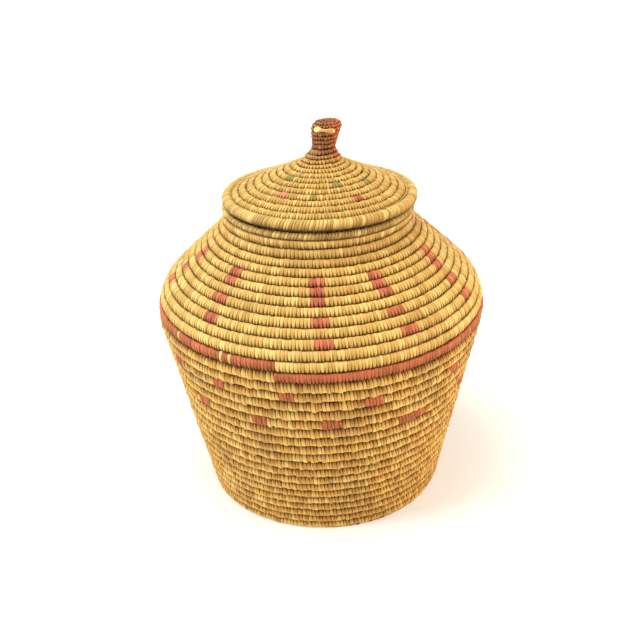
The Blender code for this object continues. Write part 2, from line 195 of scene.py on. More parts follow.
# Fineness of a coil's mesh: columns in one stitch, and points across its outer and inner sides
PHASES = np.array([0.0, 0.12, 0.34, 0.66, 0.88])
OUTER_ACROSS = np.array([0.0, 0.05, 0.16, 0.33, 0.50, 0.67, 0.84, 0.95, 1.0])
INNER_ACROSS = np.array([1.0, 0.82, 0.5, 0.18, 0.0])
ROUND_SIDES = 14
BEND_POINTS = 40
LINE_STEP = 0.0002
FINE_PER_TURN = 400

# Kinds of weave: depths and widths in metres, slant as a share of the row's height, crest as the place
# across a row that stands out most, and notch as the side where stitches narrow: 1 at the bottom of the
# row, 0 at its top. Rest is the share of the valley's depth away from that side
SHOULDER_WEAVE = Record(
    stitch=0.00250, groove=0.0022, valley=0.00070, slant=0.05, uneven=0.45, lift=0.00026,
    jag=0.035, fullness=2.2, taper=0.75, crest=0.46, notch=1.0, rest=0.45,
)
LOWER_WEAVE = Record(
    stitch=0.00262, groove=0.0027, valley=0.00105, slant=0.14, uneven=0.52, lift=0.00036,
    jag=0.12, fullness=2.1, taper=0.85, crest=0.64, notch=0.0, rest=0.22,
)
LID_WEAVE = Record(
    stitch=0.00215, groove=0.0017, valley=0.00080, slant=0.08, uneven=0.38, lift=0.00022,
    jag=0.08, fullness=2.1, taper=0.85, crest=0.44, notch=1.0, rest=0.30,
)
KNOB_WEAVE = Record(
    stitch=0.00235, groove=0.0015, valley=0.00100, slant=0.20, uneven=0.40, lift=0.00030,
    jag=0.06, fullness=2.0, taper=0.70, crest=0.50, notch=1.0, rest=0.60,
)
RIM_WEAVE = Record(
    stitch=0.00225, valley=0.00055, slant=0.25, uneven=0.60, lift=0.00030,
)

# Where the random draws of each coil and of the fibres start
SEEDS = {
    "shoulder": 11, "lower_wall": 12, "base": 13, "rim_coil": 21, "lid_rim_coil": 22,
    "knob": 31, "dome": 32, "flange": 41, "fibres": 51,
}

# Spread and limits of the stitches' random lift and jag, as shares of those that their weave gives
LIFT_SPREAD = 0.6
LIFT_LIMITS = (-1.5, 1.0)
JAG_LIMIT = 1.6

# Slow unevenness of the rows: its share of a row, and its height off the skin. Each wave is its number
# round the jar, its drift with each row and its start
WANDER = 0.05
SWELL = 0.00025
SWELL_SHIFT = 7.0
WANDER_WAVES = ((2.0, 0.31, 0.0), (3.0, -0.17, 1.3), (5.0, 0.53, 4.1))

# Share of a groove's depth where the coil tapers to nothing, and of the skin's relief that shows inside
END_GROOVE = 0.35
LINING_RELIEF = 0.6

# Share of a row by which a coil reaches behind its neighbours, and its least thickness at its grooves
LAP = 0.24
LEAST_THICKNESS = 0.0003

# How far the top row of the neck reaches up into the rim coil
RIM_OVERLAP = 0.0009

# Loose ends of grass on the lower wall: how many, how long, thick and far off the skin, in metres, how
# unevenly, and the share of each where it ends
FIBRES = 34
FIBRE_LENGTH = 0.0075
FIBRE_LENGTH_SHARES = (0.5, 1.3)
FIBRE_LIFT_SHARES = (0.4, 1.0)
FIBRE_BEND = 0.8
FIBRE_TIP = 0.97
FIBRE_THICKNESS = 0.00016
FIBRE_LIFT = 0.0012
FIBRE_STEPS = 10
FIBRE_SIDES = 6

# Bake layout of an unrolled coil, tone of its hidden ends, and a Mix node's sockets for a colour
STRIP_SHAPE = 34.0
STRIP_FILL = 0.96
CAP_TONE = 0.5
MIX_INPUTS = (0, 6, 7)
MIX_RESULT = 2

# Streaks of the grass: cells across a row, steps from tone to tone, and what counts as pale and as dark
STREAK_CELLS = 1.7
STREAK_TONE_STEP = 19.0
STREAK_RANGE = (0.28, 0.72)

# Where patches of age start and are full, and the painted shade of the seams: where it starts between
# two rows, as a share of half a row, and how much sooner it starts between two stitches in the notches
PATCH_RANGE = (0.46, 0.66)
ROW_SEAM = 0.76
SEAM_WIDENS = 0.55

# Sheen of the grass: relief of its fibres in metres, their change of roughness, and that of the grooves
FIBRE_RELIEF = 0.00020
FIBRE_SHEEN = 0.08
FIBRE_DULLNESS = 0.14
GRASS_SHINE = 0.32
GROOVE_DULLNESS = 0.6

# Red dye on the knob and the fading brown dye of the crown: where and how unevenly they change, in
# metres, and the share that the red covers
STAIN_UNEVEN = 0.0050
STAIN_PATCH = 0.0050
STAIN_DRIFT = 0.0180
STAIN_RANGE = (0.0205, 0.0255)
STAIN_COVER = 0.85
FADE_UNEVEN = 0.0030
FADE_START = CROWN_CORNER[1] - 0.0010
FADE_END = CROWN_CORNER[1] + 0.0030

# Camera and studio
CAMERA_LENS = 67.88
CAMERA_SENSOR = 36.0
CAMERA_RISE = 0.4865
CAMERA_DISTANCE = 0.8992
CAMERA_AIM_HEIGHT = 0.1264
CAMERA_SHIFT = -0.0012
CAMERA_ROLL = math.radians(-1.737)
LAMPS = (
    ("top_light", (-0.20, -0.15, 1.50), 10.0, (1.0, 0.96, 0.88)),
    ("left_light", (-1.35, -0.40, 0.60), 15.5, (0.86, 0.99, 1.10)),
    ("right_light", (1.35, -0.45, 0.40), 13.5, (1.0, 0.90, 0.75)),
)
LAMP_SIZE = 0.6
WORLD_LIGHT = 0.62
FLOOR_SIZE = 6.0
FLOOR_RANGE = (0.35, 1.10)
FLOOR_GLOW = (0.24, 0.75)


def unit(vectors):
    """Vectors scaled to a length of one."""
    return vectors / np.linalg.norm(vectors, axis=-1, keepdims=True)


def line_through(corners, bends=()):
    """Skin line through corners, each inner corner bent round an arc of its radius.

    An arc of radius b starts b * tan(turn / 2) before its corner. The line is resampled at even steps,
    and its outward side is the tangent turned a quarter left: (-tz, tr).
    """
    points = [np.array([corners[0]])]
    for before, corner, after, bend in zip(corners, corners[1:], corners[2:], bends):
        before, corner, after = map(np.array, (before, corner, after))
        into = unit(corner - before)
        out = unit(after - corner)
        turn = math.atan2(into[0] * out[1] - into[1] * out[0], into @ out)
        start = corner - into * bend * math.tan(abs(turn) / 2.0)
        centre = start + np.array([-into[1], into[0]]) * bend * math.copysign(1.0, turn)
        arm = start - centre
        angle = np.linspace(0.0, turn, BEND_POINTS)[:, None]
        points.append(centre + arm * np.cos(angle) + np.array([-arm[1], arm[0]]) * np.sin(angle))
    points.append(np.array([corners[-1]]))
    rough = np.concatenate(points)
    passed = np.append(0.0, np.cumsum(np.linalg.norm(np.diff(rough, axis=0), axis=1)))
    along = np.linspace(0.0, passed[-1], int(passed[-1] / LINE_STEP) + 2)
    radius = np.interp(along, passed, rough[:, 0])
    height = np.interp(along, passed, rough[:, 1])
    tangent = unit(np.stack([np.gradient(radius, along), np.gradient(height, along)], axis=1))
    return Record(
        along=along, radius=radius, height=height, out_r=-tangent[:, 1], out_z=tangent[:, 0],
        length=passed[-1],
    )


def on_line(line, distance, depth):
    """Points at distances along a skin line, sunk by depths under it."""
    def read(values):
        return np.interp(distance, line.along, values)
    return read(line.radius) - read(line.out_r) * depth, read(line.height) - read(line.out_z) * depth


def row_edges(length, count, heights):
    """Distances of the grooves between rows, whose heights follow (row, height) pairs, scaled to fit."""
    wanted = np.interp(np.arange(count) + 0.5, *zip(*heights))
    return np.append(0.0, np.cumsum(wanted) * length / wanted.sum())


def lay_stitches(seed, coil, weave, first, last):
    """Marks where the stitches of a coil start, in turns, and each stitch's random lift, jag and tone.

    The number of stitches passed is the integral of 2 * pi * R / width over the turns. The marks are where
    that number is whole, each moved by a random share of a stitch.
    """
    rng = np.random.default_rng(seed)
    turns = np.linspace(first, last, int(abs(last - first) * FINE_PER_TURN) + 2)
    rate = TURN * coil.radius_at(turns) / weave.stitch
    passed = np.append(0.0, np.cumsum((rate[1:] + rate[:-1]) / 2.0 * np.diff(turns)))
    count = int(round(passed[-1]))
    marks = np.arange(count + 1.0)
    marks[1:-1] += weave.uneven * rng.uniform(-0.5, 0.5, count - 1)
    starts = np.interp(marks * passed[-1] / count, passed, turns)
    return Record(
        coil=coil, weave=weave, starts=starts, count=count,
        lift=weave.lift * np.clip(rng.normal(0.0, LIFT_SPREAD, count), *LIFT_LIMITS),
        jag=np.clip(rng.normal(0.0, 1.0, count), -JAG_LIMIT, JAG_LIMIT),
        tone=rng.uniform(0.0, 1.0, count),
        centre=(starts[1:] + starts[:-1]) / 2.0,
    )


def columns_of(wanted):
    """Stitch number, phase and run number of each mesh column, for the runs of wanted stitches."""
    edge = np.flatnonzero(np.diff(wanted.astype(int), prepend=0, append=0))
    stitch, phase, run = [], [], []
    for number, (first, end) in enumerate(zip(edge[::2], edge[1::2])):
        stitch.append(np.append(np.repeat(np.arange(first, end), len(PHASES)), end - 1))
        phase.append(np.append(np.tile(PHASES, end - first), 1.0))
        run.append(np.full(len(stitch[-1]), number))
    return np.concatenate(stitch), np.concatenate(phase), np.concatenate(run)


def turn_at(stitches, stitch, share):
    """Turns of a coil at a share of the width of a stitch."""
    start = stitches.starts[stitch]
    return start + (stitches.starts[stitch + 1] - start) * share


def at_columns(values, stitch, phase):
    """A stitch's value at its columns, and the mean of two neighbours at the mark between them."""
    beside = stitch + (phase == 1.0) - (phase == 0.0)
    return (values[stitch] + values[np.clip(beside, 0, len(values) - 1)]) / 2.0


def wander(turn_angle, rows):
    """Slow unevenness of handwork, from -1 to 1: the mean of sine waves that drift with the rows."""
    waves = (np.sin(count * turn_angle + drift * rows + start) for count, drift, start in WANDER_WAVES)
    return sum(waves) / len(WANDER_WAVES)


def wall_coil(body, line, edges, wall):
    """A wall wound from one coil, whose upper edge at turn t lies at row t, held level at top and bottom.

    Wall gives the rows where its thickness is known, and the thickness there.
    """
    count = len(edges) - 1
    rows = np.arange(count + 1)

    def radius_at(turns):
        """Skin radius at the middle of the coil."""
        middle = np.clip(turns + 0.5, 0, count)
        return on_line(line, np.interp(middle, rows, edges), 0.0)[0]

    def section(stitches, stitch, phase):
        """Points of the coil's section at each column.

        Across the row by a share v, let u = v ** k with k chosen so that u is 0.5 at the crest. The skin's
        depth is groove * (1 - (1 - |2u - 1| ** p) ** 0.5), plus valley * |2f - 1| ** 3 * (rest + notch) at
        the phase f of the stitch, where notch is the cube of the share across on the side where it narrows.
        """
        weave = stitches.weave
        across = np.concatenate([OUTER_ACROSS, INNER_ACROSS])[None, :]
        outer = np.arange(across.size)[None, :] < len(OUTER_ACROSS)
        leaned = across ** (math.log(0.5) / math.log(weave.crest))
        bulge = np.sqrt(1.0 - np.abs(2.0 * leaned - 1.0) ** weave.fullness)
        notch = (weave.notch * across + (1.0 - weave.notch) * (1.0 - across)) ** 3
        narrowing = weave.taper * notch * (np.abs(phase - 0.5) < 0.5)
        turn = turn_at(stitches, stitch, 0.5 + (phase - 0.5) * (1.0 - narrowing))
        tall = np.interp(turn + 0.5, rows[:-1] + 0.5, np.diff(edges))
        around = TURN * np.maximum(radius_at(turn), BUTTON_RADIUS)
        turn = turn - weave.slant * (across - 0.5) * tall / around
        angle = JOG_ANGLE - TURN * turn
        upper = np.clip(turn, 0, count)
        fill = np.clip(turn + 1.0, 0, count) - upper
        row = upper + fill * across
        jag = np.where(outer, weave.jag * at_columns(stitches.jag, stitch, phase), LAP)
        reach = jag * np.abs(2.0 * across - 1.0) ** 4 * np.sign(across - 0.5)
        settle = np.clip(np.minimum(row, count - row), 0.0, 1.0)
        row = row + settle * (reach + WANDER * wander(angle, row))
        groove = weave.groove * (END_GROOVE + (1.0 - END_GROOVE) * fill)
        dip = groove * (1.0 - bulge * fill ** 0.5)
        valley = weave.valley * np.abs(2.0 * phase - 1.0) ** 3
        lift = at_columns(stitches.lift, stitch, phase) + SWELL * wander(angle, row + SWELL_SHIFT)
        skin = dip + valley * (weave.rest + notch) - lift
        lining = np.interp(row, *wall) - LINING_RELIEF * (dip + valley)
        depth = np.where(outer, skin, np.maximum(lining, skin + LEAST_THICKNESS))
        radius, height = on_line(line, np.interp(row, rows, edges), depth)
        side = np.append(np.where(outer, across, 2.0 - across), 2.0)
        return radius, np.maximum(height, 0.0), angle, side

    return Record(body=body, radius_at=radius_at, section=section)


def round_coil(body, centre, thickness):
    """A level round coil about the Z axis, from its centre and its own radius."""
    def radius_at(turns):
        """Radius of the coil's outer side."""
        return np.full(np.shape(turns), centre[0] + thickness)

    def section(stitches, stitch, phase):
        """Points round the coil: a circle of radius thickness - valley * |2f - 1| ** 3 at the phase f."""
        weave = stitches.weave
        share = np.arange(ROUND_SIDES) / ROUND_SIDES
        spin = TURN * share
        slant = weave.slant * np.cos(spin) * thickness / (TURN * centre[0])
        angle = JOG_ANGLE - TURN * (turn_at(stitches, stitch, phase) - slant)
        lift = np.minimum(at_columns(stitches.lift, stitch, phase), 0.0)
        reach = thickness - weave.valley * np.abs(2.0 * phase - 1.0) ** 3 + lift
        side = 1.0 - np.abs(1.0 - 2.0 * np.append(share, 1.0))
        return centre[0] + reach * np.sin(spin), centre[1] + reach * np.cos(spin), angle, side

    return Record(body=body, radius_at=radius_at, section=section)


def on_jar(radius, angle, z):
    """Points of an even jar, raised at the front and lowered at the back, more so nearer the mouth.

    The height loses y * MOUTH_TIP * s * s * (3 - 2s), where s rises from 0 at TIP_START to 1 at the rim.
    """
    y = -radius * np.cos(angle)
    share = np.clip((z - TIP_START) / (BODY_HEIGHT - TIP_START), 0.0, 1.0)
    drop = y * MOUTH_TIP * share * share * (3.0 - 2.0 * share)
    return np.stack([radius * np.sin(angle), y, z - drop], axis=2)


def on_seat(radius, angle, z):
    """Points of a level lid, leaned to +X above its dome's edge, tipped up in front and moved to its seat.

    The knob bends further: it moves by CAP_SHIFT * s * s, where s rises from 0 at its foot to 1 at its top.
    """
    y = -radius * np.cos(angle)
    rise = z - LID_CENTRE[1]
    bent = CAP_SHIFT * np.clip((z - STEM_FOOT[1]) / (CAP_TOP - STEM_FOOT[1]), 0.0, 1.0) ** 2
    return np.stack([
        radius * np.sin(angle) + LID_ASIDE + KNOB_LEAN * np.maximum(0.0, z - DOME_EDGE[1]) + bent,
        y * math.cos(LID_TILT) + rise * math.sin(LID_TILT) - LID_FORWARD,
        LID_CENTRE[1] - y * math.sin(LID_TILT) + rise * math.cos(LID_TILT),
    ], axis=2)


def coil_piece(name, stitches, wanted, look, *replaced, closed=False):
    """Makes one piece from the wanted stitches of a coil.

    Quads join each column to the next in its run, and caps end the run. A closed coil is a ring, and its
    last column is its first.
    """
    coil = stitches.coil
    stitch, phase, run = columns_of(wanted)
    radius, height, angle, across = coil.section(stitches, stitch[:, None], phase[:, None])
    points = (on_seat if coil.body == "lid" else on_jar)(radius, angle, height)
    columns, ring = radius.shape
    around = np.arange(ring)
    caps = np.zeros((0, ring), int)
    if closed:
        columns -= 1
        points = points[:-1]
    else:
        firsts = np.flatnonzero(np.diff(run, prepend=-1))
        lasts = np.append(firsts[1:], columns) - 1
        caps = np.concatenate([firsts[:, None] * ring + around, lasts[:, None] * ring + around[::-1]])
    here = np.flatnonzero(run[1:] == run[:-1])[:, None]
    low, high = around, (around + 1) % ring
    left, right = here * ring, (here + 1) % columns * ring
    quads = np.stack([left + low, right + low, right + high, left + high], axis=2)
    mesh = mesh_of(name, points, quads, caps)
    count = stitch[here] + phase[here]
    count_ahead = stitch[here] + np.where(phase[here + 1] == 0.0, 1.0, phase[here + 1])
    set_uv(mesh, "Weave", face_uv(count, count_ahead, across[:-1], across[1:]))
    set_uv(mesh, "OFBake", strip_uv(len(here), ring))
    set_tone(mesh, np.repeat(stitches.tone[stitch[here]], ring))
    finished(name, mesh, coil.body, look, *replaced)


def tubes(name, rings, body, look, *replaced):
    """Makes one piece of plain tubes from their rings of points, which run against the clock.

    Both UV maps give the place along a tube and round it. The bake layout stacks the tubes.
    """
    number, steps, sides = rings.shape[:3]
    around = np.arange(sides)
    here = np.arange(steps - 1)[:, None]
    low, high = around, (around + 1) % sides
    left, right = here * sides, (here + 1) * sides
    quads = np.stack([left + low, left + high, right + high, right + low], axis=2).reshape(-1, 4)
    caps = np.stack([around[::-1], (steps - 1) * sides + around])
    first = np.arange(number)[:, None, None] * steps * sides
    mesh = mesh_of(name, rings, first + quads, (first + caps).reshape(-1, sides))
    uv = face_uv(around / sides, (around + 1) / sides, here / (steps - 1), (here + 1) / (steps - 1))
    uv = np.tile(uv[..., ::-1].reshape(-1, 2), (number, 1, 1))
    shift = np.arange(number)[:, None, None] * (0, 1)
    set_uv(mesh, "Weave", uv)
    set_uv(mesh, "OFBake", (uv + shift) / (1.0, number))
    finished(name, mesh, body, look, *replaced)


def face_uv(left, right, low, high):
    """UV corners of a grid of faces, from left to right on the low side and back on the high side."""
    corners = ((left, low), (right, low), (right, high), (left, high))
    return np.stack([np.stack(np.broadcast_arrays(*corner), axis=2) for corner in corners], axis=2)


def strip_uv(total, ring):
    """Bake layout: the coil unrolled and cut into equal strips, stacked to fill a square."""
    length = max(1, math.ceil(math.sqrt(total * STRIP_SHAPE)))
    strips = math.ceil(total / length)
    number = np.arange(total)[:, None]
    left = number % length / length
    sides = (np.arange(ring), np.arange(ring) + 1)
    low, high = ((number // length + side / ring * STRIP_FILL) / strips for side in sides)
    return face_uv(left, left + 1.0 / length, low, high)


def mesh_of(name, points, quads, caps):
    """A smooth mesh from points, four-sided faces and end caps."""
    mesh = bpy.data.meshes.new(name)
    points = points.reshape(-1, 3).astype(np.float32)
    corners = np.concatenate([quads.ravel(), caps.ravel()]).astype(np.int32)
    sizes = np.repeat([4, caps.shape[1]], [quads.size // 4, len(caps)])
    mesh.vertices.add(len(points))
    mesh.vertices.foreach_set("co", points.ravel())
    mesh.loops.add(len(corners))
    mesh.loops.foreach_set("vertex_index", corners)
    mesh.polygons.add(len(sizes))
    mesh.polygons.foreach_set("loop_start", np.append(0, np.cumsum(sizes)[:-1]).astype(np.int32))
    mesh.update(calc_edges=True)
    mesh.shade_smooth()
    return mesh


def set_uv(mesh, name, corners):
    """Writes a UV map, with the hidden end caps folded to one corner."""
    values = np.zeros((len(mesh.loops), 2), np.float32)
    values[:corners.size // 2] = corners.reshape(-1, 2)
    mesh.uv_layers.new(name=name).data.foreach_set("uv", values.ravel())


def set_tone(mesh, tones):
    """Writes the tone of each face, with a middle one on the end caps."""
    values = np.full(len(mesh.polygons), CAP_TONE, np.float32)
    values[:len(tones)] = tones
    mesh.attributes.new("tone", "FLOAT", "FACE").data.foreach_set("value", values)


def put_in_scene(name, data):
    """A new object of the scene, made from its data."""
    thing = bpy.data.objects.new(name, data)
    bpy.context.scene.collection.objects.link(thing)
    return thing


def finished(name, mesh, body, look, *replaced):
    """Puts a mesh in the scene as a piece of the object, on its body and in place of its solids."""
    slot, material = look
    piece = put_in_scene(name, mesh)
    mesh.materials.append(material)
    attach(piece, body)
    if replaced:
        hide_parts(*replaced)


def paint(red, green, blue):
    """A screen colour of 0 to 255 as the linear colour that the shaders take."""
    def linear(value):
        share = value / 255.0
        return share / 12.92 if share <= 0.04045 else ((share + 0.055) / 1.055) ** 2.4
    return (linear(red), linear(green), linear(blue), 1.0)


# Colours of the grass
PALE_STRAW = paint(246, 217, 134)
STRAW = paint(218, 171, 82)
OLD_STRAW = paint(172, 122, 48)
PALE_GOLD = paint(251, 221, 131)
GOLDEN_STRAW = paint(224, 156, 58)
WORN_STRAW = paint(132, 80, 24)
RIM_TAN = paint(204, 151, 66)
RIM_BROWN = paint(156, 108, 42)
# Colours of painted shade, mixed into the grooves, the seams between stitches and the shaded side of each
# row
RIM_SHADE = paint(76, 44, 14)
SEAM_SHADE_BROWN = paint(90, 56, 14)
GROOVE_SHADE_BROWN = paint(58, 32, 9)
PALE_PINK = paint(228, 146, 102)
PINK = paint(206, 108, 68)
FADED_BRICK = paint(174, 92, 40)
BRICK = paint(150, 72, 34)
# Painted shade colour for the grooves of the pink grass
BRICK_SHADE = paint(70, 26, 10)
GREEN = paint(146, 138, 58)
PALE_GREEN = paint(184, 168, 84)
# Painted shade colour for the grooves of the green grass
GREEN_SHADE = paint(70, 60, 20)
KNOB_TAN = paint(186, 138, 76)
KNOB_BROWN = paint(142, 86, 44)
KNOB_RED = paint(206, 92, 56)
# Painted shade colour for the grooves of the knob's grass
KNOB_SHADE = paint(48, 20, 8)
GOLD = paint(236, 202, 122)
DEEP_GOLD = paint(190, 140, 62)
FLOOR_COLOUR = paint(245, 241, 233)
WHITE = (1.0, 1.0, 1.0, 1.0)


def feed(tree, socket, value):
    """Links an output to a socket, or sets the socket's own value."""
    if isinstance(value, bpy.types.NodeSocket):
        tree.links.new(value, socket)
    else:
        socket.default_value = value


def set_up(tree, node, **settings):
    """Sets or links a node's inputs, named with underscores for spaces, or else its own settings."""
    for key, value in settings.items():
        name = key.replace("_", " ")
        if name in node.inputs:
            feed(tree, node.inputs[name], value)
        else:
            setattr(node, key, value)
    return node


def add_node(tree, kind, **settings):
    """Adds a node and sets it up."""
    return set_up(tree, tree.nodes.new("ShaderNode" + kind), **settings)


def maths(tree, operation, *values, clamp=False):
    """A Math node's result."""
    node = add_node(tree, "Math", operation=operation, use_clamp=clamp)
    for socket, value in zip(node.inputs, values):
        feed(tree, socket, value)
    return node.outputs[0]


def mixed(tree, share, first, second):
    """A colour mixed from two by a share."""
    node = add_node(tree, "Mix", data_type="RGBA")
    for place, value in zip(MIX_INPUTS, (share, first, second)):
        feed(tree, node.inputs[place], value)
    return node.outputs[MIX_RESULT]


def ranged(tree, value, start=0.0, end=1.0, low=0.0, high=1.0, smooth=False):
    """What a value gives as it goes from start to end: from low to high, evenly or with a soft rise."""
    return add_node(
        tree, "MapRange", interpolation_type="SMOOTHSTEP" if smooth else "LINEAR", Value=value,
        From_Min=start, From_Max=end, To_Min=low, To_Max=high,
    ).outputs[0]


def cloud(tree, place, scale, detail, roughness=0.5):
    """Soft random patches, from 0 to 1."""
    node = add_node(tree, "TexNoise", Vector=place, Scale=scale, Detail=detail, Roughness=roughness)
    return node.outputs["Fac"]


def parts_of(tree, vector):
    """The X, Y and Z of a vector."""
    return add_node(tree, "SeparateXYZ", Vector=vector).outputs


def relief(tree, height, strength):
    """Shading normals of fine raised fibres."""
    return add_node(tree, "Bump", Strength=strength, Distance=FIBRE_RELIEF, Height=height).outputs[0]


def new_group(name, inputs, outputs):
    """An empty shader group, with inputs and outputs named by kind, and its two end nodes."""
    tree = bpy.data.node_groups.new(name, "ShaderNodeTree")
    for way, sockets in (("INPUT", inputs), ("OUTPUT", outputs)):
        for kind, label in ((kind, label) for kind in sockets for label in sockets[kind]):
            tree.interface.new_socket(name=label, in_out=way, socket_type="NodeSocket" + kind)
    return tree, tree.nodes.new("NodeGroupInput").outputs, tree.nodes.new("NodeGroupOutput")


def use_group(tree, group, **values):
    """Places a group in a material and sets its inputs. Returns its outputs."""
    return add_node(tree, "Group", node_tree=group, **values).outputs


def new_surface(name):
    """A new material, with its node tree and its shader."""
    material = bpy.data.materials.new(name)
    material.use_nodes = True
    tree = material.node_tree
    return material, tree, tree.nodes["Principled BSDF"]


def strand_group():
    """Flat grass strands side by side: fibres run along each stitch, and each stitch has its own tone."""
    tree, given, result = new_group(
        "grass_strands",
        {"Vector": ["Weave"], "Float": ["Tone", "Fibres", "Tone Share"],
         "Color": ["Pale", "Middle", "Dark"]},
        {"Color": ["Colour"], "Float": ["Streak"]},
    )
    parts = parts_of(tree, given["Weave"])
    place = add_node(
        tree, "CombineXYZ",
        X=maths(tree, "MULTIPLY", parts["X"], given["Fibres"]),
        Y=maths(tree, "MULTIPLY", parts["Y"], STREAK_CELLS),
        Z=maths(tree, "MULTIPLY", given["Tone"], STREAK_TONE_STEP),
    ).outputs[0]
    spread = ranged(tree, cloud(tree, place, scale=1.0, detail=3.0, roughness=0.6), *STREAK_RANGE)
    own = maths(tree, "MULTIPLY", given["Tone"], given["Tone Share"])
    rest = maths(tree, "SUBTRACT", 1.0, given["Tone Share"])
    level = maths(tree, "ADD", own, maths(tree, "MULTIPLY", spread, rest))
    first = maths(tree, "MULTIPLY", level, 2.0, clamp=True)
    second = maths(tree, "MULTIPLY_ADD", level, 2.0, -1.0, clamp=True)
    light = mixed(tree, first, given["Pale"], given["Middle"])
    set_up(tree, result, Colour=mixed(tree, second, light, given["Dark"]), Streak=spread)
    return tree


def groove_group():
    """Painted shade where rows meet and where stitches meet, widest in the notches between two stitches.

    Notch is the side where stitches narrow, as in their weave, and Shade paints shade over that side of the
    whole row. Line is where the painted shade of the seam between stitches starts, as a share of half a
    stitch; in the notches it also stands for the darker grass seen between stitches. The second output
    rises to 1 on the other side, as the share of a painted highlight.
    """
    tree, given, result = new_group(
        "painted_shade_and_highlight",
        {"Vector": ["Weave"], "Float": ["Row Edge", "Stitch Edge", "Notch", "Shade", "Line"]},
        {"Float": ["Mask", "Crest"]},
    )
    parts = parts_of(tree, given["Weave"])
    along = maths(tree, "FRACT", parts["X"])
    across = maths(tree, "FRACT", parts["Y"])
    far_side = maths(tree, "SUBTRACT", 1.0, given["Notch"])
    other = maths(tree, "ABSOLUTE", maths(tree, "SUBTRACT", far_side, across))
    wedge = maths(tree, "POWER", other, 3.0)
    seam = maths(tree, "MULTIPLY_ADD", wedge, -SEAM_WIDENS, given["Line"])
    mask = maths(tree, "MULTIPLY", wedge, given["Shade"])
    for value, amount, start in ((across, "Row Edge", ROW_SEAM), (along, "Stitch Edge", seam)):
        away = maths(tree, "ABSOLUTE", maths(tree, "MULTIPLY_ADD", value, 2.0, -1.0))
        dark = maths(tree, "MULTIPLY", ranged(tree, away, start, smooth=True), given[amount])
        mask = maths(tree, "MAXIMUM", mask, dark, clamp=True)
    crest = maths(tree, "POWER", maths(tree, "SUBTRACT", 1.0, other), 2.0)
    set_up(tree, result, Mask=mask, Crest=crest)
    return tree


def age_group():
    """Slow patches of sun-browned and greenish grass over the whole piece, in Object coordinates."""
    tree, given, result = new_group(
        "age_patches",
        {"Vector": ["Place"], "Color": ["Colour", "Patch"], "Float": ["Amount", "Size"]},
        {"Color": ["Colour"]},
    )
    scale = maths(tree, "DIVIDE", 1.0, given["Size"])
    patches = cloud(tree, given["Place"], scale, detail=2.0, roughness=0.55)
    share = maths(tree, "MULTIPLY", ranged(tree, patches, *PATCH_RANGE, smooth=True), given["Amount"])
    set_up(tree, result, Colour=mixed(tree, share, given["Colour"], given["Patch"]))
    return tree


STRANDS = strand_group()
SHADE_AND_HIGHLIGHT = groove_group()
AGE = age_group()


def grass(slot, name, pale, middle, dark, shade_colour, row_edge=0.85, stitch_edge=0.95, tone_share=0.50,
          fibres=5.0, patch=OLD_STRAW, patch_amount=0.35, patch_size=0.035, roughness=0.44,
          notch=1.0, shade=0.15, line=0.88, crest=0.25, stain=None):
    """Wrapped grass: streaks, a tone per stitch, patches of age, painted shade and highlight, fine relief.
    """
    material, tree, shader = new_surface(name)
    weave = add_node(tree, "UVMap", uv_map="Weave").outputs[0]
    tone = add_node(tree, "Attribute", attribute_name="tone").outputs["Fac"]
    place = add_node(tree, "TexCoord").outputs["Object"]
    strands = use_group(
        tree, STRANDS, Weave=weave, Tone=tone, Fibres=fibres, Tone_Share=tone_share,
        Pale=pale, Middle=middle, Dark=dark,
    )
    colour = strands["Colour"]
    if stain:
        colour = stain(tree, place, tone, colour)
    aged = use_group(
        tree, AGE, Place=place, Colour=colour, Patch=patch, Amount=patch_amount, Size=patch_size,
    )["Colour"]
    grooves = use_group(
        tree, SHADE_AND_HIGHLIGHT, Weave=weave, Row_Edge=row_edge, Stitch_Edge=stitch_edge, Notch=notch,
        Shade=shade, Line=line,
    )
    # Painted highlight: the side of each row away from its notch pales towards the pale colour, by crest
    highlighted = mixed(tree, maths(tree, "MULTIPLY", grooves["Crest"], crest), aged, pale)
    rough = ranged(tree, strands["Streak"], low=roughness - FIBRE_SHEEN, high=roughness + FIBRE_DULLNESS)
    # Painted shade: grooves, seams and the notch side of each row darken towards the shade colour
    set_up(
        tree, shader, Base_Color=mixed(tree, grooves["Mask"], highlighted, shade_colour),
        Roughness=maths(tree, "MULTIPLY_ADD", grooves["Mask"], GROOVE_DULLNESS, rough, clamp=True),
        Normal=relief(tree, strands["Streak"], strength=0.75), Specular_IOR_Level=GRASS_SHINE,
    )
    return slot, material


def knob_stain(tree, place, tone, colour):
    """Red dye on the right side of the knob, patchy and uneven from stitch to stitch."""
    patches = cloud(tree, place, 1.0 / STAIN_PATCH, detail=1.0)
    drifted = maths(tree, "MULTIPLY_ADD", patches, STAIN_DRIFT, parts_of(tree, place)["X"])
    uneven = maths(tree, "MULTIPLY_ADD", tone, STAIN_UNEVEN, drifted)
    cover = ranged(tree, uneven, *STAIN_RANGE, high=STAIN_COVER, smooth=True)
    return mixed(tree, cover, colour, KNOB_RED)


def crown_fade(tree, place, tone, colour):
    """The crown's brown dye fades to straw towards its lowest rows, unevenly from stitch to stitch."""
    uneven = maths(tree, "MULTIPLY_ADD", tone, -FADE_UNEVEN, parts_of(tree, place)["Z"])
    dyed = ranged(tree, uneven, FADE_START, FADE_END, smooth=True)
    return mixed(tree, dyed, STRAW, knob_stain(tree, place, tone, colour))


